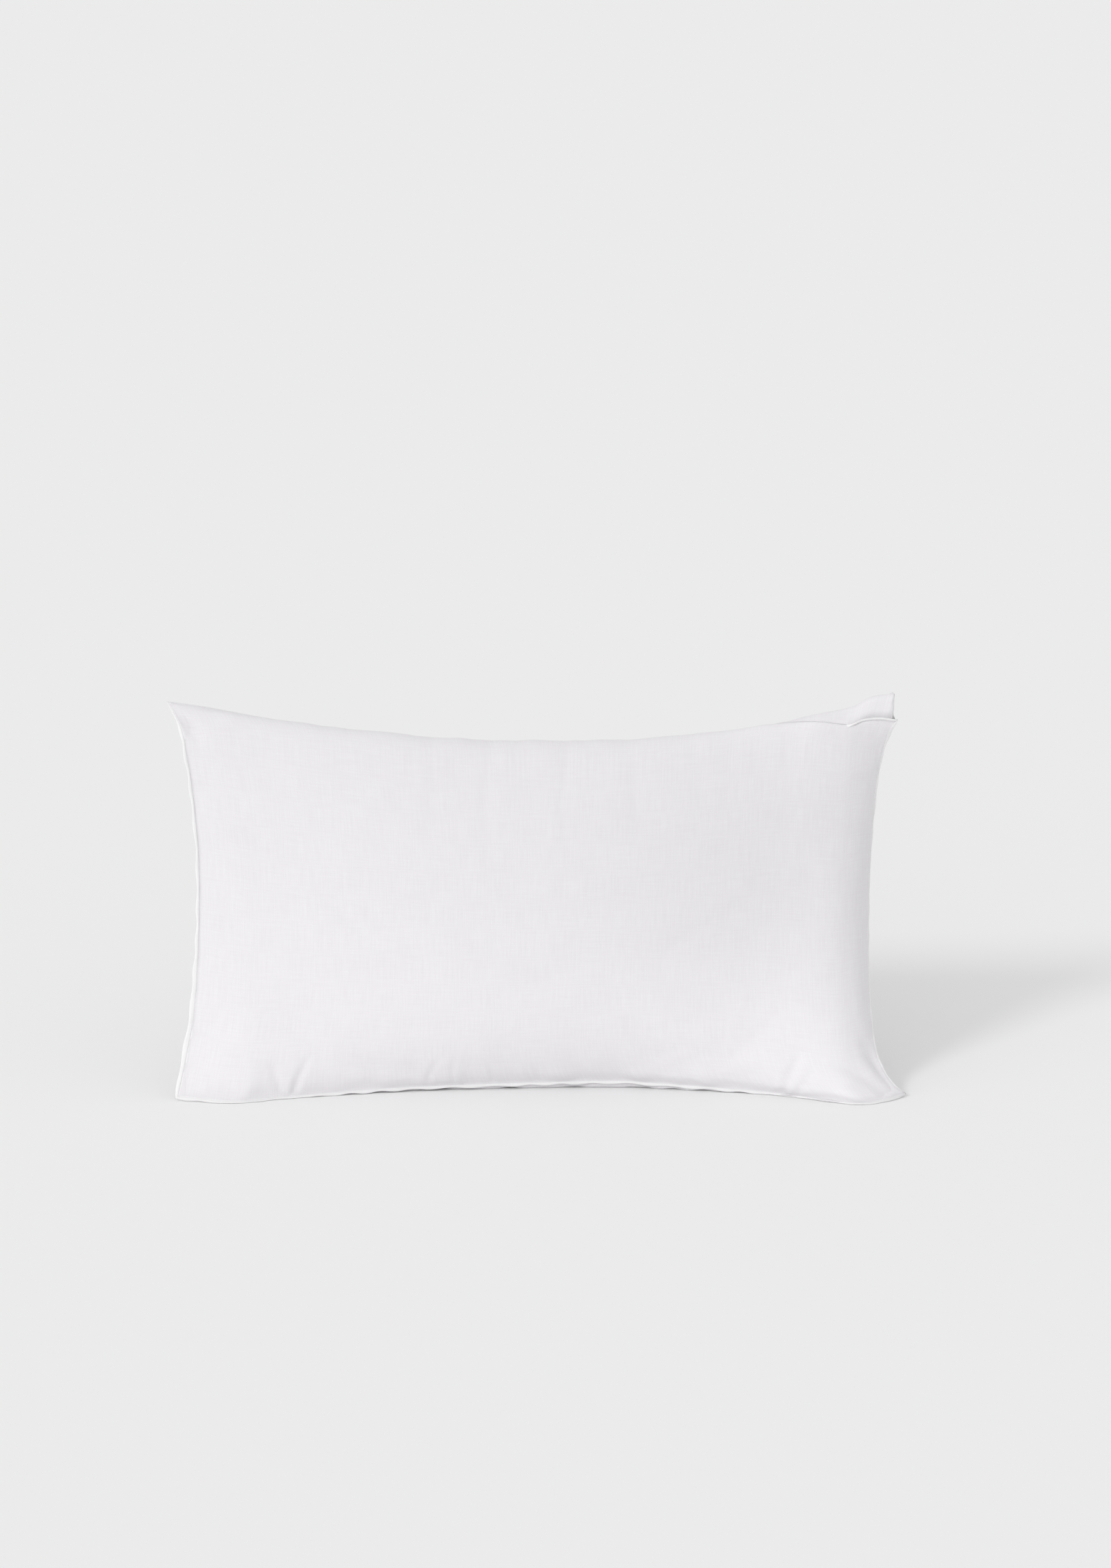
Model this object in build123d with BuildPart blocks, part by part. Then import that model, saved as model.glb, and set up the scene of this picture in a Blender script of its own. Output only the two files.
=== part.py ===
"""Bed pillow, 900 x 500 mm when sewn flat, standing on its long edge and leaning back.

Two woven panels meet in a narrow stitched lip and are stuffed with fibre.
Units are millimetres. X runs along the long edge, Y from front to back, Z up from the floor.
The origin is on the floor, at the centre of the pillow's footprint.
"""

import os
from math import cos, radians, sin

from build123d import *

# Stuffed pillow, measured between the stitch lines of the seam
width = 868.0  # between the left and right corners
height = 474.0  # between the lower and upper corners, along the lean
lean = 14.0  # degrees that the top leans back
side_pull = 37.0  # how far the stuffing draws the middle of each short side in
top_pull = 54.0
bottom_pull = 10.0
front_crown = 98.0  # how far the front panel's control points stand out from the seam plane
back_crown = 104.0
corner_crown = 0.8  # share of the crown at the control points next to the short sides

# Control points of a panel, as shares of its width and of its height
columns = (0, 0.04, 0.22, 0.5, 0.78, 0.96, 1)
front_rows = (0, 0.04, 0.33, 0.67, 0.96, 1)
back_rows = (0, -0.36, -0.05, 0.6, 0.96, 1)  # the back sags until the floor flattens it
across = len(columns) - 1
up = len(front_rows) - 1

# Shell
fabric = 0.6
seam_inset = 3.0  # the stuffing stops this far short of the stitch line
lip_width = 4.0  # the stitched lip, beyond the stitch line
lip_root = 1.5  # how far the lip reaches back into the panels
lip_half = 0.9  # thickness of the turned edge of one panel
lip_lift = 1.0  # between the floor and the lip at the lower corners

# Sewing thread
thread_width = 0.6
thread_height = 0.4  # how far the rows that show stand on the lip
assembly_height = 0.7  # needle and bobbin threads of the hidden seam together
edge_row_inset = 3.2  # from the lip's outer edge to the rows that show
assembly_inset = 1.0  # from the lip's outer edge to the hidden seam inside it
closing_length = 230.0  # length of the gap that is sewn shut after stuffing
closing_centre = -180.0
row_gap = 1.0  # between the end of one row and the start of the next

# Care label
label_width = 30.0
label_length = 42.0
label_thickness = 0.3
label_place = 130.0  # from the pillow's centre to the label's centre, along the top
label_hem = 3.4  # how far the label's end is held inside the lip
label_stand = 0.8  # how far the label rises over the lip before it turns to the back
label_droop = 8.0  # degrees below the seam's normal

seam_depth = 40.0  # more than any piece of the seam measures through the lip


def control_point(i, j, grow, crown, rows):
    """One control point of a panel, in the seam plane's own axes.

    The corners stay on the rectangle, the edges are drawn in, and the inner points stand out.
    Next to the short sides both panels are alike, so the back sags only between them.
    """
    inner_column = 0 < i < across
    inner_row = 0 < j < up
    inside = inner_column and inner_row
    by_side = i in (1, across - 1)
    column = columns[i] if inside else i / across
    row = j / up
    if inside:
        row = front_rows[j] if by_side else rows[j]
    half = width / 2 + grow - (side_pull if inner_row else 0)
    low = -grow + (bottom_pull if inner_column else 0)
    high = height + grow - (top_pull if inner_column else 0)
    share = corner_crown if by_side else 1
    out = crown * share if inside else 0
    return Vector(half * (2 * column - 1), low + (high - low) * row, out)


def outline_edges(grow):
    """The seam's closed outline, grown or shrunk from the stitch line."""
    sides = [[(i, j) for i in range(across + 1)] for j in (0, up)]
    sides += [[(i, j) for j in range(up + 1)] for i in (0, across)]
    return [
        Edge.make_bezier(*[control_point(i, j, grow, 0, front_rows) for i, j in side])
        for side in sides
    ]


def half_form(plane, grow, crown, rows, floor):
    """One panel's bulge, closed by the seam plane and cut flat where it rests on the floor."""
    points = [
        [plane.from_local_coords(control_point(i, j, grow, crown, rows)) for j in range(up + 1)]
        for i in range(across + 1)
    ]
    bulge = Face.make_bezier_surface(points)
    base = Face(Wire([plane.from_local_coords(edge) for edge in outline_edges(grow)]))
    with BuildPart() as form:
        add(Solid(Shell([bulge, base])))
        split(bisect_by=Plane.XY.offset(floor), keep=Keep.TOP)
    return form.part


def seam_band(outer, inner, start, thickness):
    """A flat band that follows the seam, from one outline in to another."""
    with BuildPart() as band:
        with BuildSketch(seam_plane.offset(start)):
            add(Face(Wire(outline_edges(outer)), [Wire(outline_edges(inner))]))
        extrude(amount=thickness)
    return band.part


def make_seam_plane(setback):
    """The seam's plane: its own Y runs up the lean and its normal points to the front."""
    lift = lip_lift + lip_width * cos(radians(lean))
    normal = (0, -cos(radians(lean)), sin(radians(lean)))
    return Plane(origin=(0, setback, lift), x_dir=(1, 0, 0), z_dir=normal)


def thread_row(line, start, thickness):
    """A row of thread along the whole seam, centred on a line beyond the stitch line."""
    return seam_band(line + thread_width / 2, line - thread_width / 2, start, thickness)


def closing_box(length):
    """The stretch of the bottom seam that is sewn shut after stuffing."""
    with BuildPart(seam_plane * Location((closing_centre, 0, 0))) as stretch:
        Box(length, height / 2, seam_depth)
    return stretch.part


def save(piece, name):
    piece.label = name
    export_step(piece, f"parts/{name}.step")
    print(name, round(piece.volume), piece.is_valid, len(piece.solids()))


os.makedirs("parts", exist_ok=True)

# The origin is centred under the pillow, so the halves are made once to see where they stand
trial_plane = make_seam_plane(0)
trial_front = half_form(trial_plane, 0, front_crown, front_rows, 0)
trial_back = half_form(trial_plane, 0, -back_crown, back_rows, 0)
front_reach = trial_front.bounding_box().min.Y
back_reach = trial_back.bounding_box().max.Y
seam_plane = make_seam_plane(-(front_reach + back_reach) / 2)

# Care label: its end is held between the two panels' edges and the rest falls over the back
top_line = outline_edges(lip_width)[1]
lip_top = top_line.intersect(Axis((label_place, 0, 0), (0, 1, 0)))[0].Y
droop = radians(label_droop)
label_plane = Plane(
    origin=seam_plane.from_local_coords((label_place - label_width / 2, 0, 0)),
    x_dir=-seam_plane.z_dir,
    z_dir=seam_plane.x_dir,
)
with BuildPart() as care_label:
    with BuildSketch(label_plane):
        with BuildLine():
            hem = (0, lip_top - label_hem)
            turn = (0, lip_top + label_stand)
            end = (label_length * cos(droop), lip_top + label_stand - label_length * sin(droop))
            Polyline(hem, turn, end)
        trace(line_width=label_thickness)
    extrude(amount=label_width)

# Hidden seam that joins the panels, and catches the label
with BuildPart() as assembly_thread:
    add(thread_row(lip_width - assembly_inset, -assembly_height / 2, assembly_height))
    add(care_label.part, mode=Mode.SUBTRACT)

# Rows that show, one on each face of the lip
front_row = thread_row(lip_width - edge_row_inset, lip_half, thread_height)
back_row = thread_row(lip_width - edge_row_inset, -lip_half, -thread_height)

# Front panel
with BuildPart() as front_panel:
    add(half_form(seam_plane, 0, front_crown, front_rows, 0))
    add(
        half_form(seam_plane, -seam_inset, front_crown - fabric, front_rows, fabric),
        mode=Mode.SUBTRACT,
    )
    add(seam_band(lip_width, -lip_root, 0, lip_half))
    add(assembly_thread.part, mode=Mode.SUBTRACT)
    add(care_label.part, mode=Mode.SUBTRACT)
    add(front_row, mode=Mode.SUBTRACT)

# Back panel
with BuildPart() as back_panel:
    add(half_form(seam_plane, 0, -back_crown, back_rows, 0))
    add(
        half_form(seam_plane, -seam_inset, fabric - back_crown, back_rows, fabric),
        mode=Mode.SUBTRACT,
    )
    add(seam_band(lip_width, -lip_root, 0, -lip_half))
    add(assembly_thread.part, mode=Mode.SUBTRACT)
    add(care_label.part, mode=Mode.SUBTRACT)
    add(back_row, mode=Mode.SUBTRACT)

# Fibre fill, which takes up all the room inside
with BuildPart() as fibre_fill:
    add(half_form(seam_plane, -seam_inset, front_crown - fabric, front_rows, fabric))
    add(half_form(seam_plane, -seam_inset, fabric - back_crown, back_rows, fabric))

# Rows of thread: one round the pillow, and one that shuts the gap
with BuildPart() as edge_needle_thread:
    add(front_row)
    add(closing_box(closing_length + 2 * row_gap), mode=Mode.SUBTRACT)
with BuildPart() as edge_bobbin_thread:
    add(back_row)
    add(closing_box(closing_length + 2 * row_gap), mode=Mode.SUBTRACT)
with BuildPart() as closing_needle_thread:
    add(front_row)
    add(closing_box(closing_length), mode=Mode.INTERSECT)
with BuildPart() as closing_bobbin_thread:
    add(back_row)
    add(closing_box(closing_length), mode=Mode.INTERSECT)

save(front_panel.part, "front_panel")
save(back_panel.part, "back_panel")
save(fibre_fill.part, "fibre_fill")
save(edge_needle_thread.part, "edge_needle_thread")
save(edge_bobbin_thread.part, "edge_bobbin_thread")
save(closing_needle_thread.part, "closing_needle_thread")
save(closing_bobbin_thread.part, "closing_bobbin_thread")
save(assembly_thread.part, "assembly_thread")
save(care_label.part, "care_label")
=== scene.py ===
import math

import bpy
import numpy as np
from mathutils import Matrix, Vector


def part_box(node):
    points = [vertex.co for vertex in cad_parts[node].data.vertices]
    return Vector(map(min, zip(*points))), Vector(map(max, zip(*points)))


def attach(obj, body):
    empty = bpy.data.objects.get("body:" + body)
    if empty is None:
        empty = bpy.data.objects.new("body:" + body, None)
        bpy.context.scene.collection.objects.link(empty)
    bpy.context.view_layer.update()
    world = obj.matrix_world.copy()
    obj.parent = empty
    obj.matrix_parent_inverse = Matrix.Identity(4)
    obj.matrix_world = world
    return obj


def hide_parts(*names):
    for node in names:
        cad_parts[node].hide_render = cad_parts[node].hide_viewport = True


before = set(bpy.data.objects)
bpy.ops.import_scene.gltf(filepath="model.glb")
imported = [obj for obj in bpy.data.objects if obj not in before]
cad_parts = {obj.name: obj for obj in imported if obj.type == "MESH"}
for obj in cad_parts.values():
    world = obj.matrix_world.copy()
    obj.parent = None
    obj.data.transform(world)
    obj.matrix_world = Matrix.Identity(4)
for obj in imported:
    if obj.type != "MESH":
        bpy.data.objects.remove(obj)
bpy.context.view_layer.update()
scene = bpy.context.scene
mm = 0.001
print("frame loaded")

# The seam's plane leans back. A local point is (x, rise up the lean, out to the front), in mm.
seamLow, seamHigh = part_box("assembly_thread")
upLean = Vector((0, seamHigh.y - seamLow.y, seamHigh.z - seamLow.z)).normalized()
outFront = Vector((0, -upLean.z, upLean.y))
seamOrigin = np.array((0, seamLow.y, seamLow.z))
seamAxes = np.array([(1, 0, 0), tuple(upLean), tuple(outFront)])


def toFrame(local):
    return seamOrigin + np.asarray(local, float) * mm @ seamAxes


def toLocal(points):
    return (points - seamOrigin) @ seamAxes.T / mm


def unit(vectors):
    return vectors / np.maximum(np.linalg.norm(vectors, axis=-1, keepdims=True), 1e-12)


# A Catmull-Rom line through a few points, sampled evenly by length
def smoothLine(points, count):
    points = np.asarray(points, float)
    ends = np.vstack([2 * points[0] - points[1], points, 2 * points[-1] - points[-2]])
    dense = []
    for a, b, c, d in zip(ends, ends[1:], ends[2:], ends[3:]):
        t = np.linspace(0, 1, 40, endpoint=False)[:, None]
        dense.append(0.5 * (2 * b + (c - a) * t + (2 * a - 5 * b + 4 * c - d) * t**2
                            + (3 * b - a - 3 * c + d) * t**3))
    dense = np.vstack(dense + [points[-1:]])
    reach = np.concatenate([[0], np.cumsum(np.linalg.norm(np.diff(dense, axis=0), axis=1))])
    at = np.linspace(0, reach[-1], count)
    return np.stack([np.interp(at, reach, dense[:, k]) for k in range(3)], axis=1)


# Stitch line, corner to corner
seam = {
    "bottom": [(-434, 0, 16), (-366, -5, 24), (-297, 0, 7), (-169, 8, -14), (-50, 12, -23), (79, 15, -27),
               (147, 12, -22), (275, 3, -4), (366, -6, 27), (404, -4, 22), (434, 3, 4)],
    "right": [(434, 3, 4), (421, 12, 6), (408, 30, -4), (398, 60, -18), (392, 137, -30), (392, 238, -33),
              (396, 320, -30), (403, 392, -14), (412, 432, 12), (420, 448, 24)],
    "top": [(-448, 470, -12), (-400, 463, -20), (-330, 450, -32), (-220, 434, -42), (-110, 423, -46),
            (0, 420, -46), (121, 423, -44), (220, 434, -36), (290, 445, -14), (330, 446, 8), (366, 443, 18),
            (386, 449, 22), (420, 448, 24)],
    "left": [(-434, 0, 16), (-423, 53, 8), (-414, 112, 4), (-410, 197, 2), (-410, 282, 2), (-417, 360, 2),
             (-425, 410, 0), (-432, 440, -8), (-448, 470, -12)],
}

# Flat cut between the stitch lines in metres, and its cells.
# Crowns are how far the panels stand out in mm, and left to top how they round off there: (power, fullness).
# Rolls push the cloth out in mm over a band, given as (middle, half width) in half sizes.
# Sag is how far the back sinks towards the floor in mm, most at sagReach half heights from the bottom.
# Slack stretches the cloth's rest shape along x and up. Give is the simulated form's share in the result.
pillow = {"cutWidth": 0.892, "cutHeight": 0.492, "cell": 0.008, "frontCrown": 84, "backCrown": -80,
          "left": (2.8, 0.92), "right": (2.1, 0.88), "bottom": (1.45, 1.0), "top": (2.8, 0.45),
          "topRoll": 20, "topBand": (0.86, 0.14), "rightRoll": 7, "rightBand": (0.9, 0.1),
          "sag": 60, "sagReach": 0.22, "frames": 20, "pressure": 4, "bending": 1.0,
          "slack": (1.012, 1.0), "give": 0.4, "ground": -0.0032}
# The corner at the top right is folded forward, so the back panel stands up in a lobe behind it:
# how far it is moved in mm, and how the move fades from the side and from the top
lobe = {"move": (20, 58, -10), "sideRise": 2, "sideFade": 100, "topRise": 9, "topFade": 45}
# Least heights over the floor in metres: the drawn cloth, each panel, its inner face and lip, and the fill
clear = {"drawn": 0.0008, "front": 0.0004, "back": 0.0002, "inner": 0.0004, "fill": 0.001}


# Fills the space between four lines
def coons(bottom, right, top, left):
    u = np.linspace(0, 1, len(bottom))[:, None, None]
    v = np.linspace(0, 1, len(left))[None, :, None]
    corners = ((1 - u) * (1 - v) * bottom[0] + u * (1 - v) * bottom[-1]
               + (1 - u) * v * top[0] + u * v * top[-1])
    return (1 - v) * bottom[:, None] + v * top[:, None] + (1 - u) * left[None] + u * right[None] - corners


def gridFaces(index):
    return np.stack([index[:-1, :-1], index[1:, :-1], index[1:, 1:], index[:-1, 1:]], axis=-1).reshape(-1, 4)


def newObject(name, points, faces):
    mesh = bpy.data.meshes.new(name)
    mesh.from_pydata(np.asarray(points).tolist(), [], [list(map(int, f)) for f in faces])
    made = bpy.data.objects.new(name, mesh)
    scene.collection.objects.link(made)
    return made


# Draws the two panels between the stitch lines, then loosens them with a short cloth simulation
def stuffPillow():
    nu = round(pillow["cutWidth"] / pillow["cell"]) + 1
    nv = round(pillow["cutHeight"] / pillow["cell"]) + 1
    lines = {k: smoothLine(line, nu if k in ("bottom", "top") else nv) for k, line in seam.items()}
    middle = coons(lines["bottom"], lines["right"], lines["top"], lines["left"])
    u, v = np.meshgrid(np.linspace(-1, 1, nu), np.linspace(-1, 1, nv), indexing="ij")

    def rounding(t, low, high):
        power, full = (np.where(t < 0, low[k], high[k]) for k in (0, 1))
        return (1 - np.abs(t) ** power) ** full

    crown = rounding(u, pillow["left"], pillow["right"]) * rounding(v, pillow["bottom"], pillow["top"])
    front, back = middle.copy(), middle.copy()
    front[..., 2] += crown * (pillow["frontCrown"] - middle[..., 2])
    back[..., 2] += crown * (pillow["backCrown"] - middle[..., 2])

    def rollBand(t, band):
        return np.clip(1 - ((t - band[0]) / band[1]) ** 2, 0, 1)

    roll = pillow["topRoll"] * rollBand(v, pillow["topBand"]) * (1 - u**4)
    front[..., 1] += roll
    back[..., 1] += roll / 2
    roll = pillow["rightRoll"] * rollBand(u, pillow["rightBand"]) * (1 - v**4)
    front[..., 0] += roll
    back[..., 0] += roll
    down = (v + 1) / pillow["sagReach"]
    back[..., 1] -= pillow["sag"] * down**2 * np.exp(2 - 2 * down) * (1 - u**6)
    fromSide = (1 - u) / 2 * pillow["cutWidth"] / mm
    fromTop = (1 - v) / 2 * pillow["cutHeight"] / mm
    lifted = ((1 - np.exp(-fromSide / lobe["sideRise"])) * (1 - np.exp(-fromTop / lobe["topRise"]))
              * np.exp(-(fromSide / lobe["sideFade"]) ** 2 - (fromTop / lobe["topFade"]) ** 2))
    back += lifted[..., None] * lobe["move"]
    front, back = toFrame(front), toFrame(back)
    for layer in (front, back):
        layer[..., 2] = np.maximum(layer[..., 2], clear["drawn"])

    frontIndex = np.arange(nu * nv).reshape(nu, nv)
    backIndex = frontIndex.copy()
    backIndex[1:-1, 1:-1] = nu * nv + np.arange((nu - 2) * (nv - 2)).reshape(nu - 2, nv - 2)
    points = np.vstack([front.reshape(-1, 3), back[1:-1, 1:-1].reshape(-1, 3)])

    alongX, upwards = pillow["slack"]
    cloth = newObject("stuffing", points, np.vstack([gridFaces(frontIndex), gridFaces(backIndex)[:, ::-1]]))
    cloth.shape_key_add(name="start")
    slackKey = cloth.shape_key_add(name="slack")
    slackKey.data.foreach_set("co", (points * (alongX, upwards, upwards)).ravel())
    slackKey.value = 0
    rim = set(frontIndex[0]) | set(frontIndex[-1]) | set(frontIndex[:, 0]) | set(frontIndex[:, -1])
    cloth.vertex_groups.new(name="sewn").add([int(i) for i in sorted(rim)], 1, "REPLACE")

    groundCorners = [(x, y, pillow["ground"]) for x, y in ((-1, -1), (1, -1), (1, 1), (-1, 1))]
    ground = newObject("ground", groundCorners, [(0, 1, 2, 3)])
    ground.modifiers.new("press", "COLLISION")
    ground.collision.thickness_outer = 0.002
    solver = cloth.modifiers.new("stuff", "CLOTH")
    s = solver.settings
    s.quality = 6
    s.mass = 0.15
    s.tension_stiffness = s.compression_stiffness = 40
    s.shear_stiffness = 20
    s.bending_stiffness = pillow["bending"]
    s.air_damping = 2
    s.use_pressure = True
    s.uniform_pressure_force = pillow["pressure"]
    s.vertex_group_mass = "sewn"
    s.rest_shape_key = slackKey
    s.effector_weights.gravity = 0.1
    solver.collision_settings.distance_min = 0.002
    solver.collision_settings.use_self_collision = False
    scene.frame_start, scene.frame_end = 1, pillow["frames"]
    solver.point_cache.frame_start, solver.point_cache.frame_end = 1, pillow["frames"]
    for step in range(1, pillow["frames"] + 1):
        scene.frame_set(step)
    settled = cloth.evaluated_get(bpy.context.evaluated_depsgraph_get())
    blown = np.empty(points.size)
    settled.data.vertices.foreach_get("co", blown)
    points = points + pillow["give"] * (blown.reshape(-1, 3) - points)
    scene.frame_set(1)
    bpy.data.objects.remove(cloth)
    bpy.data.objects.remove(ground)
    return points[frontIndex], points[backIndex]


# Twice the cells, on a cubic through the points
def finer(grid):
    for axis in (0, 1):
        g = np.moveaxis(grid, axis, 0)
        padded = np.concatenate([[2 * g[0] - g[1]], g, [2 * g[-1] - g[-2]]])
        between = (9 * (padded[1:-2] + padded[2:-1]) - padded[:-3] - padded[3:]) / 16
        out = np.empty((2 * len(g) - 1,) + g.shape[1:])
        out[::2], out[1::2] = g, between
        grid = np.moveaxis(out, 0, axis)
    return grid


def gridNormals(grid, facing):
    along = np.gradient(grid, axis=0)
    rising = np.gradient(grid, axis=1)
    return unit(np.cross(along, rising)) * facing


frontGrid, backGrid = (finer(g) for g in stuffPillow())
print("pillow stuffed", toLocal(frontGrid)[..., 2].max().round(1), toLocal(backGrid)[..., 2].min().round(1),
      frontGrid[..., 2].min().round(4), backGrid[..., 2].min().round(4), frontGrid[..., 2].max().round(4))

# Creases as points (x, rise), width and depth in mm; a minus is a hollow with a ridge along each side
frontCreases = [
    {"line": [(-442, 449), (-424, 438), (-404, 423)], "width": 11, "depth": -8},
    {"line": [(430, 6), (404, 30), (378, 58)], "width": 8, "depth": -3.5},
    {"line": [(424, 20), (396, 48), (372, 80)], "width": 9, "depth": -2.5},
    {"line": [(410, 0), (384, 22), (350, 40)], "width": 8, "depth": -2},
    {"line": [(-298, 2), (-290, 24), (-276, 50)], "width": 6, "depth": -3},
    {"line": [(-310, 2), (-318, 22), (-322, 44)], "width": 7, "depth": -1.8},
    {"line": [(-140, 8), (-134, 26), (-122, 46)], "width": 5, "depth": -1.6},
    {"line": [(-106, 10), (-108, 28), (-104, 50)], "width": 5, "depth": -1.4},
    {"line": [(-58, 12), (-60, 26), (-66, 44)], "width": 5, "depth": -1.4},
    {"line": [(288, 4), (296, 26), (310, 56)], "width": 7, "depth": -2.4},
    {"line": [(302, 2), (316, 22), (336, 44)], "width": 6, "depth": -1.6},
    {"line": [(-60, 420), (-66, 330), (-62, 240)], "width": 12, "depth": -0.8},
    {"line": [(-130, 424), (-128, 350), (-136, 270)], "width": 11, "depth": -0.6},
    {"line": [(30, 420), (24, 340), (34, 260)], "width": 10, "depth": -0.7},
    {"line": [(104, 420), (112, 350), (106, 280)], "width": 12, "depth": -0.7},
    {"line": [(180, 424), (190, 360), (184, 300)], "width": 12, "depth": -0.6},
    {"line": [(-420, 372), (-396, 366), (-370, 366)], "width": 6, "depth": -1.5},
    {"line": [(-412, 300), (-392, 296), (-372, 298)], "width": 6, "depth": -1.2},
    {"line": [(-414, 160), (-394, 166), (-376, 168)], "width": 6, "depth": -1.2},
    {"line": [(-422, 70), (-400, 82), (-380, 90)], "width": 7, "depth": -1.6},
]
backCreases = [
    {"line": [(360, 452), (384, 462), (402, 474)], "width": 6, "depth": -3},
    {"line": [(376, 450), (398, 458), (416, 470)], "width": 5, "depth": -2.5},
]


# Distance to a drawn line, and how far along it the nearest point is, from 0 to 1
def distanceToLine(points, line):
    line = np.asarray(line, float)
    lengths = np.linalg.norm(np.diff(line, axis=0), axis=1)
    nearest, along = np.full(points.shape[:-1], 1e9), np.zeros(points.shape[:-1])
    for k, (a, b) in enumerate(zip(line, line[1:])):
        t = np.clip(((points - a) @ (b - a)) / lengths[k] ** 2, 0, 1)
        d = np.linalg.norm(points - a - t[..., None] * (b - a), axis=-1)
        closer = d < nearest
        nearest = np.where(closer, d, nearest)
        along = np.where(closer, (lengths[:k].sum() + t * lengths[k]) / lengths.sum(), along)
    return nearest, along


def crease(grid, facing, creases):
    flat = toLocal(grid)[..., :2]
    moved = np.zeros(grid.shape[:2])
    for c in creases:
        d, along = distanceToLine(flat, c["line"])
        across = (d / c["width"]) ** 2
        moved += c["depth"] * (1 - across) * np.exp(-across) * np.cos(along * math.pi / 2) ** 0.7
    return grid + gridNormals(grid, facing) * (moved * mm)[..., None]


nu, nv = frontGrid.shape[:2]
rimCells = np.minimum.reduce(np.broadcast_arrays(
    np.arange(nu)[:, None], np.arange(nu)[::-1][:, None], np.arange(nv)[None], np.arange(nv)[::-1][None]))
inside = np.clip(rimCells / 2, 0, 1)[..., None]
frontGrid = frontGrid + (crease(frontGrid, 1, frontCreases) - frontGrid) * inside
backGrid = backGrid + (crease(backGrid, -1, backCreases) - backGrid) * inside

# Puckers that the stitching draws in along the seam
puckers = {"bottom": 2.0, "right": 1.0, "top": 1.0, "left": 1.2, "peak": 11, "pitch": 17, "seed": 11}


def pucker(grid, facing, seed):
    dice = np.random.default_rng(seed)
    cell = pillow["cell"] / 2 / mm
    moved = np.zeros(grid.shape[:2])
    for side in ("bottom", "left", "top", "right"):
        level = side in ("bottom", "top")
        count = nu if level else nv
        across = np.arange(nv if level else nu) * cell
        knots = dice.uniform(-1, 1, int(count * cell / puckers["pitch"]) + 3)
        wave = np.interp(np.arange(count) * cell, np.arange(len(knots)) * puckers["pitch"], knots)
        wave = np.convolve(np.pad(wave, 2, "edge"), (0.1, 0.2, 0.4, 0.2, 0.1), "valid")
        fall = across / puckers["peak"] * np.exp(1 - across / puckers["peak"])
        if side in ("top", "right"):
            fall = fall[::-1]
        moved += puckers[side] * (wave[:, None] * fall[None] if level else wave[None] * fall[:, None])
    return grid + gridNormals(grid, facing) * (moved * mm)[..., None]


frontGrid = pucker(frontGrid, 1, puckers["seed"])
backGrid = pucker(backGrid, -1, puckers["seed"] + 1)
rim = rimCells == 0
middleRim = (frontGrid + backGrid) / 2
frontGrid[rim] = backGrid[rim] = middleRim[rim]
frontGrid[..., 2] = np.maximum(frontGrid[..., 2], clear["front"])
backGrid[..., 2] = np.maximum(backGrid[..., 2], clear["back"])
print("creases drawn")

# Stitched lip: its section as (outward, towards its panel) in mm, its waves, the rope-like twist at the lower
# left, and how many degrees it is turned to the back along the top, the right side and the folded corner.
# The fold starts at foldFrom along x. Down the sides, the top's turn goes on to topFrom, and to cornerFrom
# on the right. Passes smooth the lip's directions along the seam.
lip = {"section": [(0.5, 0.5), (1.3, 0.95), (2.3, 1.1), (3.2, 0.95), (3.8, 0.55), (4.0, 0.06), (2.5, 0.04),
                   (0.5, 0.04)], "width": 4, "root": (-0.6, 0.05), "twistSkew": 1.3,
       "twistDepth": 0.12, "twistPitch": 7.5, "waveDepth": 0.35, "wavePitch": 31,
       "widthWave": 0.2, "widthPitch": 43, "widthDrift": 37,
       "ropeWidth": 0.6, "ropeDepth": 0.6, "ropeTop": 190, "ropeFade": 60, "ropeRise": 40,
       "topTurn": 70, "rightTurn": 40, "foldTurn": 20, "foldFrom": 300, "topFrom": 435, "cornerFrom": 380,
       "inCells": 3, "outPasses": 12, "facePasses": 4, "turnPasses": 40}

# The stitch line as one loop of grid places, anticlockwise from the lower left corner seen from the front
loop = ([(i, 0) for i in range(nu - 1)] + [(nu - 1, j) for j in range(nv - 1)]
        + [(i, nv - 1) for i in range(nu - 1, 0, -1)] + [(0, j) for j in range(nv - 1, 0, -1)])
loopI, loopJ = np.array(loop).T
inI = np.clip(loopI, lip["inCells"], nu - 1 - lip["inCells"])
inJ = np.clip(loopJ, lip["inCells"], nv - 1 - lip["inCells"])
stitchLine = frontGrid[loopI, loopJ]
tangent = unit(np.roll(stitchLine, -1, axis=0) - np.roll(stitchLine, 1, axis=0))


def roundLoop(values, passes):
    for _ in range(passes):
        values = (np.roll(values, 1, axis=0) + 2 * values + np.roll(values, -1, axis=0)) / 4
    return values


outward = -unit(frontGrid[inI, inJ] - stitchLine) - unit(backGrid[inI, inJ] - stitchLine)
outward[loopJ == 0] = -seamAxes[1]
outward = unit(outward)
outward = outward - (outward * tangent).sum(axis=1, keepdims=True) * tangent
outward = unit(roundLoop(unit(outward), lip["outPasses"]))
lipFront = unit(np.cross(tangent, outward)) * -1
lipFront = unit(roundLoop(lipFront, lip["facePasses"]))
lipPlace = toLocal(stitchLine)
onTop = loopJ == nv - 1
rolled = np.select([onTop & (lipPlace[:, 0] > lip["foldFrom"]), onTop | (lipPlace[:, 1] > lip["topFrom"]),
                    (loopI == nu - 1) & (lipPlace[:, 1] > lip["cornerFrom"]), loopI == nu - 1],
                   [lip["foldTurn"], lip["topTurn"], lip["topTurn"], lip["rightTurn"]], 0)
rolled = np.radians(roundLoop(rolled, lip["turnPasses"]))[:, None]
outward, lipFront = (np.cos(rolled) * outward - np.sin(rolled) * lipFront,
                     np.sin(rolled) * outward + np.cos(rolled) * lipFront)
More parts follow.
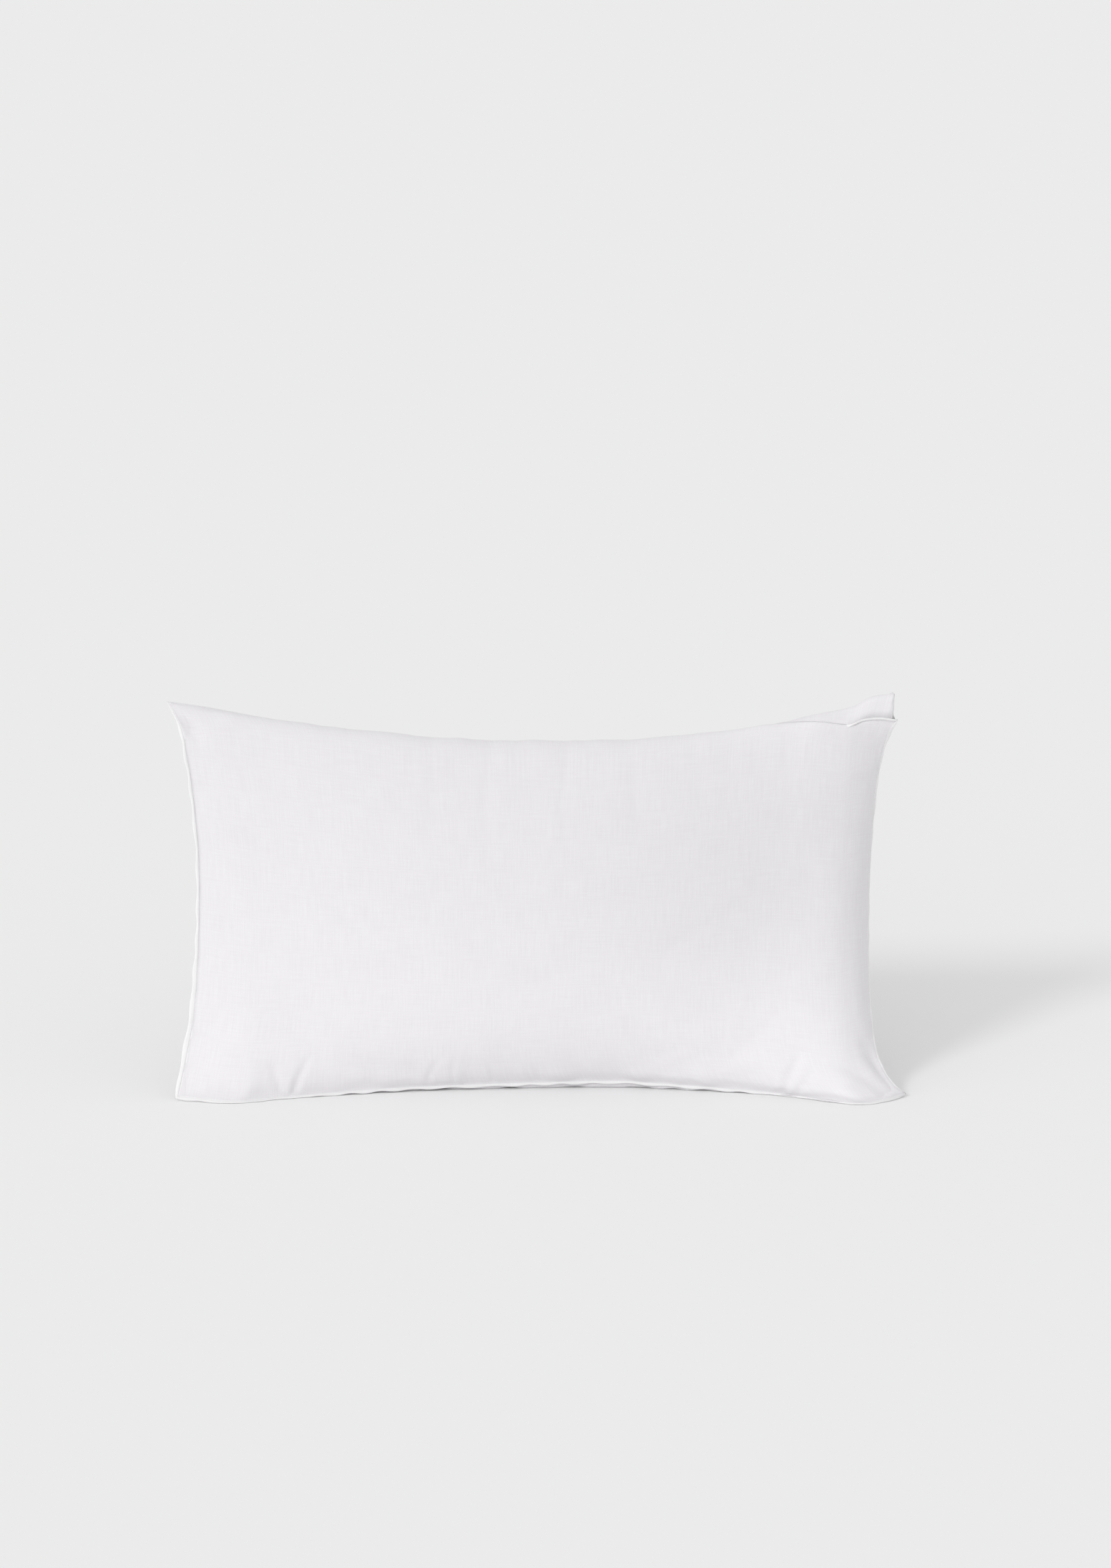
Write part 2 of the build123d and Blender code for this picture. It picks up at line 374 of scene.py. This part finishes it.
loopLength = np.concatenate([[0], np.cumsum(np.linalg.norm(np.diff(stitchLine, axis=0), axis=1))]) / mm

fabricThickness = 0.4

# A line of points round the pillow, out from the stitch line and up from the middle of the lip
def lipPoints(out, up, facing):
    ropy = (np.clip((lip["ropeTop"] - lipPlace[:, 1]) / lip["ropeFade"], 0, 1)
            * np.clip(lipPlace[:, 1] / lip["ropeRise"], 0, 1) * (loopI == 0))
    turns = 2 * math.pi * loopLength
    twistDepth = lip["twistDepth"] + lip["ropeDepth"] * ropy
    twist = 1 + twistDepth * np.sin(turns / lip["twistPitch"] + lip["twistSkew"] * out)
    wave = lip["waveDepth"] * np.sin(turns / lip["wavePitch"]) * out / lip["width"]
    drift = np.sin(loopLength / lip["widthDrift"])
    width = 1 + lip["ropeWidth"] * ropy + lip["widthWave"] * np.sin(turns / lip["widthPitch"] + drift)
    made = (stitchLine + outward * (out * width * mm)[:, None]
            + lipFront * (((up * twist) * facing + wave) * mm)[:, None])
    made[:, 2] = np.maximum(made[:, 2], clear["inner"])
    return made


# One panel with its thickness, and its half of the lip
def panel(name, grid, facing):
    normals = gridNormals(grid, facing)
    inner = grid - normals * fabricThickness * mm
    inner[..., 2] = np.maximum(inner[..., 2], clear["inner"])
    inner[loopI, loopJ] = lipPoints(*lip["root"], facing)
    index = np.arange(nu * nv).reshape(nu, nv)
    points = [grid.reshape(-1, 3), inner.reshape(-1, 3)]
    faces = [gridFaces(index), gridFaces(index + nu * nv)[:, ::-1]]
    rings = [index[loopI, loopJ]]
    start = 2 * nu * nv
    for out, up in lip["section"]:
        points.append(lipPoints(out, up, facing))
        rings.append(start + np.arange(len(loop)))
        start += len(loop)
    rings.append(index[loopI, loopJ] + nu * nv)
    for a, b in zip(rings, rings[1:]):
        faces.append(np.stack([a, b, np.roll(b, -1), np.roll(a, -1)], axis=1))
    faces = np.vstack(faces)
    if facing < 0:
        faces = faces[:, ::-1]
    made = newObject(name, np.vstack(points), faces)
    for p in made.data.polygons:
        p.use_smooth = True
    cutMap = made.data.uv_layers.new(name="cut")
    i, j = np.meshgrid(np.arange(nu), np.arange(nv), indexing="ij")
    flat = np.stack([i, j], axis=-1).reshape(-1, 2) * pillow["cell"] / 2
    around = flat[index[loopI, loopJ]]
    push = np.stack([np.where(loopI == 0, -1, np.where(loopI == nu - 1, 1, 0)),
                     np.where(loopJ == 0, -1, np.where(loopJ == nv - 1, 1, 0))], axis=1)
    flat = np.vstack([flat, flat] + [around + push * out * mm for out, up in lip["section"]])
    # Lip faces take the whiter lip cloth, whose extra whiteness is partly painted highlight
    onLip = np.zeros(len(made.data.polygons), dtype=np.int32)
    onLip[2 * (nu - 1) * (nv - 1) + len(loop):] = 1
    made.data.materials.append(bleachedCotton)
    made.data.materials.append(fourLayerCottonWithPaintedLight)
    made.data.polygons.foreach_set("material_index", onLip)
    corner = np.empty(len(made.data.loops), dtype=np.int32)
    made.data.loops.foreach_get("vertex_index", corner)
    cutMap.data.foreach_set("uv", flat[corner].ravel())
    return made


# Fibre fill, a little inside the panels, and short of the seam by some of their cells
fill = {"inset": 2.0, "cells": 8}


def fillBody():
    rows = slice(fill["cells"], -fill["cells"], 2)
    front = (frontGrid - gridNormals(frontGrid, 1) * fill["inset"] * mm)[rows, rows]
    back = (backGrid - gridNormals(backGrid, -1) * fill["inset"] * mm)[rows, rows]
    a, b = front.shape[:2]
    index = np.arange(a * b).reshape(a, b)
    other = index.copy()
    other[1:-1, 1:-1] = a * b + np.arange((a - 2) * (b - 2)).reshape(a - 2, b - 2)
    edge = np.ones((a, b), bool)
    edge[1:-1, 1:-1] = False
    front[edge] = ((front + back) / 2)[edge]
    for layer in (front, back):
        layer[..., 2] = np.maximum(layer[..., 2], clear["fill"])
    made = newObject("fibreFill", np.vstack([front.reshape(-1, 3), back[1:-1, 1:-1].reshape(-1, 3)]),
                     np.vstack([gridFaces(index), gridFaces(other)[:, ::-1]]))
    for p in made.data.polygons:
        p.use_smooth = True
    return made


fibreFill = fillBody()
print("fill made")

# Thread: single stitches along a line. Place is out from the stitch line and height up from the lip's middle.
# The closing row runs between two places along x. All in mm.
stitches = {"length": 3.0, "thickness": 0.42, "place": 0.75, "height": 0.78}
closing = {"from": -295, "to": -65, "length": 3.6, "place": 0.95, "height": 0.86}
hidden = {"length": 2.4, "thickness": 0.35, "place": 3.0}


def stitchTree():
    tree = bpy.data.node_groups.new("stitchRow", "GeometryNodeTree")
    face = tree.interface
    face.new_socket("Line", in_out="INPUT", socket_type="NodeSocketGeometry")
    sockets = {}
    for name in ("Stitch length", "Thickness"):
        sockets[name] = face.new_socket(name, in_out="INPUT", socket_type="NodeSocketFloat").identifier
    sockets["Thread"] = face.new_socket("Thread", in_out="INPUT", socket_type="NodeSocketMaterial").identifier
    face.new_socket("Stitches", in_out="OUTPUT", socket_type="NodeSocketGeometry")
    n, link = tree.nodes, tree.links.new
    given, result = n.new("NodeGroupInput"), n.new("NodeGroupOutput")
    spots = n.new("GeometryNodeCurveToPoints")
    spots.mode = "LENGTH"
    one = n.new("GeometryNodeMeshUVSphere")
    one.inputs["Segments"].default_value = 6
    one.inputs["Rings"].default_value = 5
    one.inputs["Radius"].default_value = 0.5
    size = n.new("ShaderNodeCombineXYZ")
    shorter = n.new("ShaderNodeMath")
    shorter.operation = "MULTIPLY"
    shorter.inputs[1].default_value = 0.9
    copies = n.new("GeometryNodeInstanceOnPoints")
    real = n.new("GeometryNodeRealizeInstances")
    smooth = n.new("GeometryNodeSetShadeSmooth")
    paint = n.new("GeometryNodeSetMaterial")
    link(given.outputs["Line"], spots.inputs["Curve"])
    link(given.outputs["Stitch length"], spots.inputs["Length"])
    link(given.outputs["Stitch length"], shorter.inputs[0])
    link(given.outputs["Thickness"], size.inputs["X"])
    link(given.outputs["Thickness"], size.inputs["Y"])
    link(shorter.outputs[0], size.inputs["Z"])
    link(spots.outputs["Points"], copies.inputs["Points"])
    link(spots.outputs["Rotation"], copies.inputs["Rotation"])
    link(one.outputs["Mesh"], copies.inputs["Instance"])
    link(size.outputs[0], copies.inputs["Scale"])
    link(copies.outputs[0], real.inputs[0])
    link(real.outputs[0], smooth.inputs[0])
    link(smooth.outputs[0], paint.inputs["Geometry"])
    link(given.outputs["Thread"], paint.inputs["Material"])
    link(paint.outputs[0], result.inputs["Stitches"])
    return tree, sockets


stitchNodes, stitchSockets = stitchTree()


def stitchRow(name, line, closed, length, thickness):
    curve = bpy.data.curves.new(name + "Line", "CURVE")
    curve.dimensions = "3D"
    spline = curve.splines.new("POLY")
    spline.points.add(len(line) - 1)
    spline.points.foreach_set("co", np.hstack([line, np.ones((len(line), 1))]).ravel())
    spline.use_cyclic_u = closed
    holder = bpy.data.objects.new(name + "Line", curve)
    scene.collection.objects.link(holder)
    nodes = holder.modifiers.new("stitches", "NODES")
    nodes.node_group = stitchNodes
    nodes[stitchSockets["Stitch length"]] = length * mm
    nodes[stitchSockets["Thickness"]] = thickness * mm
    nodes[stitchSockets["Thread"]] = whiteThread
    graph = bpy.context.evaluated_depsgraph_get()
    mesh = bpy.data.meshes.new_from_object(holder.evaluated_get(graph), depsgraph=graph)
    bpy.data.objects.remove(holder)
    made = bpy.data.objects.new(name, mesh)
    scene.collection.objects.link(made)
    return made


# Materials. The turned lip is whiter than the panels. Part of that is its own colour, being four layers of
# cloth. The rest is painted light: a painted highlight for light shining through the thin cloth, which also
# lifts the shade in the crevice along the seam.
cotton = {"white": (0.757, 0.745, 0.764), "shade": (0.718, 0.703, 0.721), "weaveHeight": 0.04,
          "roughness": 0.92}
# Lip cloth: whiter than the panels partly from its four layers and partly by painted highlight
fourLayerLookWithPaintedLight = {**cotton, "white": (0.83, 0.825, 0.83), "shade": (0.81, 0.804, 0.81)}
threadLook = {"white": (0.80, 0.80, 0.80), "roughness": 0.6}
fibreLook = {"white": (0.84, 0.84, 0.83), "roughness": 0.95}
satin = {"white": (0.78, 0.78, 0.76), "roughness": 0.38}


def newMaterial(name, colour, roughness):
    made = bpy.data.materials.new(name)
    made.use_nodes = True
    shader = made.node_tree.nodes["Principled BSDF"]
    shader.inputs["Base Color"].default_value = (*colour, 1)
    shader.inputs["Roughness"].default_value = roughness
    shader.inputs["Specular IOR Level"].default_value = 0.2
    return made, made.node_tree.nodes, made.node_tree.links.new, shader


# Thin plain weave with slubs along both threads, and the fill's soft clouds showing through
def cottonMaterial(name, look):
    made, n, link, shader = newMaterial(name, look["white"], look["roughness"])
    shader.inputs["Sheen Weight"].default_value = 0.12
    shader.inputs["Sheen Roughness"].default_value = 0.6
    flat = n.new("ShaderNodeTexCoord")
    streaks = []
    for stretch, share in (((620, 26, 1), 0.55), ((26, 560, 1), 0.35), ((24, 20, 1), 0.2)):
        mapping = n.new("ShaderNodeMapping")
        mapping.inputs["Scale"].default_value = stretch
        noise = n.new("ShaderNodeTexNoise")
        noise.noise_dimensions = "2D"
        noise.inputs["Scale"].default_value = 1
        noise.inputs["Detail"].default_value = 3
        noise.inputs["Roughness"].default_value = 0.6
        weigh = n.new("ShaderNodeMath")
        weigh.operation = "MULTIPLY_ADD"
        weigh.inputs[1].default_value = share
        weigh.inputs[2].default_value = 0
        link(flat.outputs["UV"], mapping.inputs["Vector"])
        link(mapping.outputs["Vector"], noise.inputs["Vector"])
        link(noise.outputs["Fac"], weigh.inputs[0])
        if streaks:
            link(streaks[-1].outputs[0], weigh.inputs[2])
        streaks.append(weigh)
    spread = n.new("ShaderNodeMapRange")
    spread.inputs["From Min"].default_value = 0.4
    spread.inputs["From Max"].default_value = 0.7
    colour = n.new("ShaderNodeMix")
    colour.data_type = "RGBA"
    colour.inputs["A"].default_value = (*look["shade"], 1)
    colour.inputs["B"].default_value = (*look["white"], 1)
    bump = n.new("ShaderNodeBump")
    bump.inputs["Strength"].default_value = 0.25
    bump.inputs["Distance"].default_value = look["weaveHeight"] * mm
    link(streaks[-1].outputs[0], spread.inputs["Value"])
    link(spread.outputs[0], colour.inputs["Factor"])
    link(colour.outputs["Result"], shader.inputs["Base Color"])
    link(streaks[1].outputs[0], bump.inputs["Height"])
    link(bump.outputs["Normal"], shader.inputs["Normal"])
    return made


def fuzzMaterial(name, look, scale, height):
    made, n, link, shader = newMaterial(name, look["white"], look["roughness"])
    place = n.new("ShaderNodeTexCoord")
    noise = n.new("ShaderNodeTexNoise")
    noise.inputs["Scale"].default_value = scale
    noise.inputs["Detail"].default_value = 5
    bump = n.new("ShaderNodeBump")
    bump.inputs["Distance"].default_value = height * mm
    link(place.outputs["Object"], noise.inputs["Vector"])
    link(noise.outputs["Fac"], bump.inputs["Height"])
    link(bump.outputs["Normal"], shader.inputs["Normal"])
    return made


bleachedCotton = cottonMaterial("bleachedCotton", cotton)
# Lip cloth, whiter partly from its four layers and partly from painted highlight
fourLayerCottonWithPaintedLight = cottonMaterial("fourLayerCottonWithPaintedLight", fourLayerLookWithPaintedLight)
whiteThread = fuzzMaterial("polyesterThread", threadLook, 4000, 0.05)
whiteFibre = fuzzMaterial("polyesterFibre", fibreLook, 260, 1.2)
labelSatin = fuzzMaterial("labelSatin", satin, 1800, 0.02)

frontPanel = panel("frontPanel", frontGrid, 1)
backPanel = panel("backPanel", backGrid, -1)
print("panels made")

onBottom = loopJ == 0
inGap = onBottom & (lipPlace[:, 0] > closing["from"]) & (lipPlace[:, 0] < closing["to"])
gapEnds = np.flatnonzero(inGap)[[0, -1]]


def rowLines(facing):
    edge = lipPoints(stitches["place"], stitches["height"], facing)
    edge = np.roll(edge, -gapEnds[1] - 1, axis=0)[:len(loop) - (gapEnds[1] - gapEnds[0] + 1)]
    shut = lipPoints(closing["place"], closing["height"], facing)[gapEnds[0]:gapEnds[1] + 1]
    return edge, shut


threads = []
for name, facing in (("Needle", 1), ("Bobbin", -1)):
    edge, shut = rowLines(facing)
    threads.append(stitchRow(f"edge{name}Thread", edge, False, stitches["length"], stitches["thickness"]))
    threads.append(stitchRow(f"closing{name}Thread", shut, False, closing["length"], stitches["thickness"]))
hiddenLine = lipPoints(hidden["place"], 0, 1)
assemblyThread = stitchRow("assemblyThread", hiddenLine, True, hidden["length"], hidden["thickness"])
print("stitches sewn", [len(t.data.polygons) for t in threads])

# Care label, blank: held in the lip, turned over it and lying on the back panel.
# Turn is its path over the lip as (out from the stitch line, to the back) in mm.
# Steps are the back's grid rows that it lies on, each lifted a little more than the one before.
label = {"centre": 130, "width": 30, "thickness": 0.25, "lift": 0.5, "liftMore": 0.12, "steps": range(2, 9),
         "turn": [(-1, 0), (4.4, 0), (5.0, 0.8), (4.4, 1.7), (1.6, 1.9)]}


def careLabelPiece():
    besideLabel = np.abs(lipPlace[:, 0] - label["centre"]) <= label["width"] / 2 + 1
    normals = gridNormals(backGrid, -1)
    strips = []
    for k in np.flatnonzero(onTop & besideLabel):
        i = loopI[k]
        base, o, f = stitchLine[k], outward[k] * mm, lipFront[k] * mm
        path = [base + out * o - behind * f for out, behind in label["turn"]]
        for step in label["steps"]:
            lift = (label["lift"] + label["liftMore"] * step) * mm
            path.append(backGrid[i, nv - 1 - step] + normals[i, nv - 1 - step] * lift)
        strips.append(path)
    strips = np.array(strips)
    index = np.arange(strips.shape[0] * strips.shape[1]).reshape(strips.shape[:2])
    made = newObject("careLabel", strips.reshape(-1, 3), gridFaces(index))
    for p in made.data.polygons:
        p.use_smooth = True
    softened = made.modifiers.new("round", "SUBSURF")
    softened.levels = softened.render_levels = 2
    wall = made.modifiers.new("wall", "SOLIDIFY")
    wall.thickness = label["thickness"] * mm
    wall.offset = 0
    return made


careLabel = careLabelPiece()

for piece, material, node in (
        (frontPanel, None, "front_panel"), (backPanel, None, "back_panel"),
        (fibreFill, whiteFibre, "fibre_fill"), (threads[0], None, "edge_needle_thread"),
        (threads[1], None, "closing_needle_thread"), (threads[2], None, "edge_bobbin_thread"),
        (threads[3], None, "closing_bobbin_thread"), (assemblyThread, None, "assembly_thread"),
        (careLabel, labelSatin, "care_label")):
    if material:
        piece.data.materials.append(material)
    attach(piece, "root")
    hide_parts(node)
print("pieces named")

# Studio: the camera looks at a point given up the lean, moved by aimX and aimUp
studio = {"lookAt": 236, "elevation": 15, "distance": 4.685, "lens": 90, "aimX": 0.0158, "aimUp": 0.136,
          "paper": 0.832, "sky": 0.812, "keyStrength": 0.78, "keySize": 14, "keyFrom": (-1.0, -0.98, 1),
          "fill": 0.45, "fillFrom": (-0.65, -0.75, 0.12), "fillEdge": 0.55,
          "boardPower": 0.46, "boardSize": (1.3, 0.26), "boardPlace": (0, -0.23, 0.002)}
floor = newObject("floor", [(-60, -60, 0), (60, -60, 0), (60, 60, 0), (-60, 60, 0)], [(0, 1, 2, 3)])
paper, _, _, paperShader = newMaterial("palePaper", (studio["paper"],) * 3, 1)
paperShader.inputs["Specular IOR Level"].default_value = 0
floor.data.materials.append(paper)
world = bpy.data.worlds.new("studio")
scene.world = world
world.use_nodes = True
# A wide soft fill from behind the camera brightens the plain sky there; the camera itself sees the plain sky
n, link = world.node_tree.nodes, world.node_tree.links.new
towards, seen = n.new("ShaderNodeTexCoord"), n.new("ShaderNodeLightPath")
turned, spread = n.new("ShaderNodeVectorMath"), n.new("ShaderNodeMapRange")
unseen, level = n.new("ShaderNodeMath"), n.new("ShaderNodeMath")
turned.operation = "DOT_PRODUCT"
turned.inputs[1].default_value = Vector(studio["fillFrom"]).normalized()
spread.inputs["From Min"].default_value = studio["fillEdge"]
spread.inputs["To Max"].default_value = studio["fill"]
unseen.operation = "LESS_THAN"
unseen.inputs[1].default_value = 0.5
level.operation = "MULTIPLY_ADD"
level.inputs[2].default_value = studio["sky"]
link(towards.outputs["Generated"], turned.inputs[0])
link(turned.outputs["Value"], spread.inputs["Value"])
link(seen.outputs["Is Camera Ray"], unseen.inputs[0])
link(spread.outputs[0], level.inputs[0])
link(unseen.outputs[0], level.inputs[1])
world.node_tree.nodes["Background"].inputs["Color"].default_value = (1, 1, 1, 1)
link(level.outputs[0], world.node_tree.nodes["Background"].inputs["Strength"])
key = bpy.data.objects.new("key", bpy.data.lights.new("key", "SUN"))
key.data.energy = studio["keyStrength"]
key.data.angle = math.radians(studio["keySize"])
key.rotation_mode = "QUATERNION"
key.rotation_quaternion = Vector(studio["keyFrom"]).to_track_quat("Z", "Y")
scene.collection.objects.link(key)
# A pale board lying in front of the pillow, which throws light up at its lower half
board = bpy.data.objects.new("board", bpy.data.lights.new("board", "AREA"))
board.data.shape = "RECTANGLE"
board.data.size, board.data.size_y = studio["boardSize"]
board.data.energy = studio["boardPower"]
board.location = studio["boardPlace"]
board.rotation_euler = (math.pi, 0, 0)
board.visible_camera = False
scene.collection.objects.link(board)
scene.view_settings.view_transform = "Standard"

tilt = math.radians(studio["elevation"])
toCamera = Vector((0, -math.cos(tilt), math.sin(tilt)))
camUp = Vector((0, math.sin(tilt), math.cos(tilt)))
camera = bpy.data.objects.new("camera", bpy.data.cameras.new("camera"))
scene.collection.objects.link(camera)
camera.data.lens = studio["lens"]
camera.data.clip_end = 200
camera.location = (Vector(toFrame((0, studio["lookAt"], 0))) + Vector((studio["aimX"], 0, 0))
                   + camUp * studio["aimUp"] + toCamera * studio["distance"])
camera.rotation_mode = "QUATERNION"
camera.rotation_quaternion = (-toCamera).to_track_quat("-Z", "Y")
scene.camera = camera
print("studio lit")
